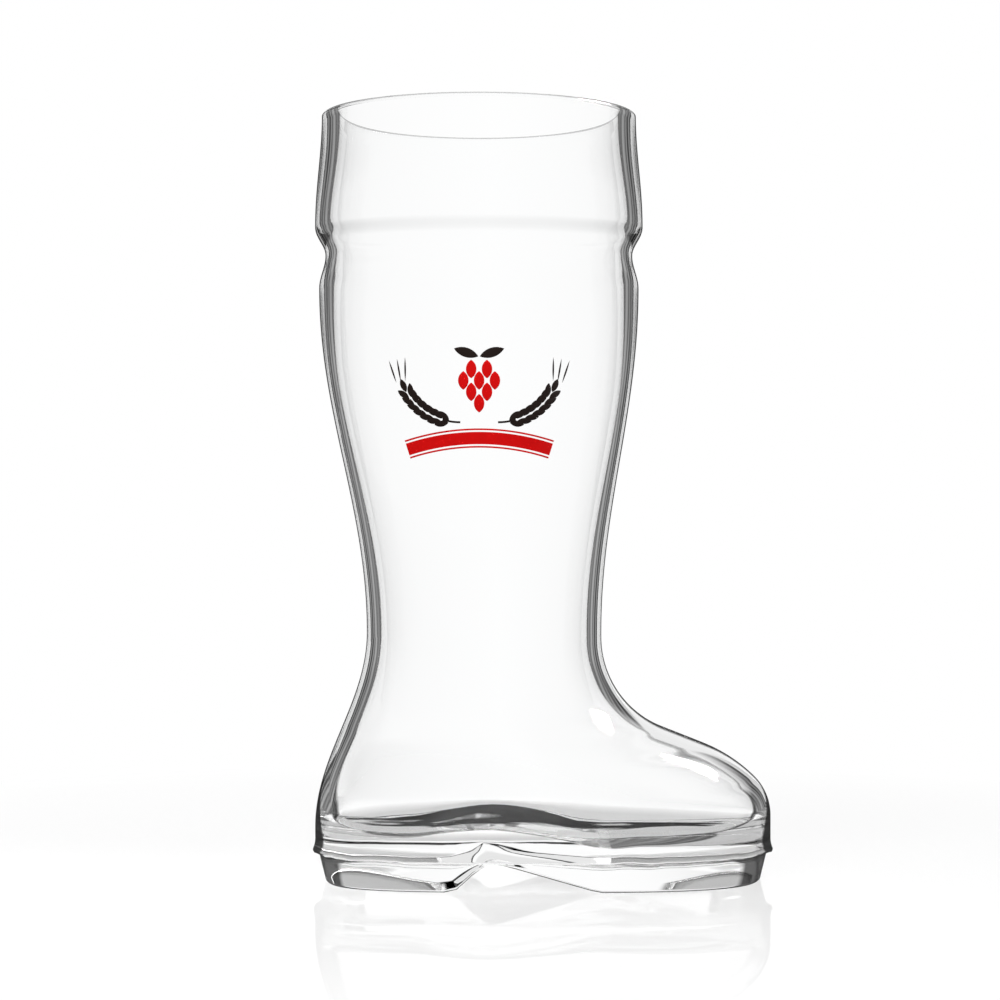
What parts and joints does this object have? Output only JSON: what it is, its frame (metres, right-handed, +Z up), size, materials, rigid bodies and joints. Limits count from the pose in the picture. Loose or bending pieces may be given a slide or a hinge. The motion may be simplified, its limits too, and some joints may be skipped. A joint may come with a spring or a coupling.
{
  "type": "beer boot glass",
  "caption": "Clear glass drinking vessel shaped like a riding boot, with a rolled cuff, a hollow leg and foot, a heeled sole and a printed hop and barley emblem.",
  "frame": {"origin": "on the table, under the middle of the foot: the centre of the overall box's underside", "axes": "+Z up along the leg, +X from heel to toe, the printed side faces -Y"},
  "size_m": [0.1414, 0.1009, 0.235],
  "materials": {
    "clear_glass": "clear, fire-polished",
    "red_enamel": "fired enamel print",
    "dark_enamel": "fired enamel print"
  },
  "bodies": {
    "root": {"glass_upper": "clear_glass", "glass_heel": "clear_glass", "glass_sole": "clear_glass", "red_print": "red_enamel", "dark_print": "dark_enamel"}
  },
  "joints": []
}
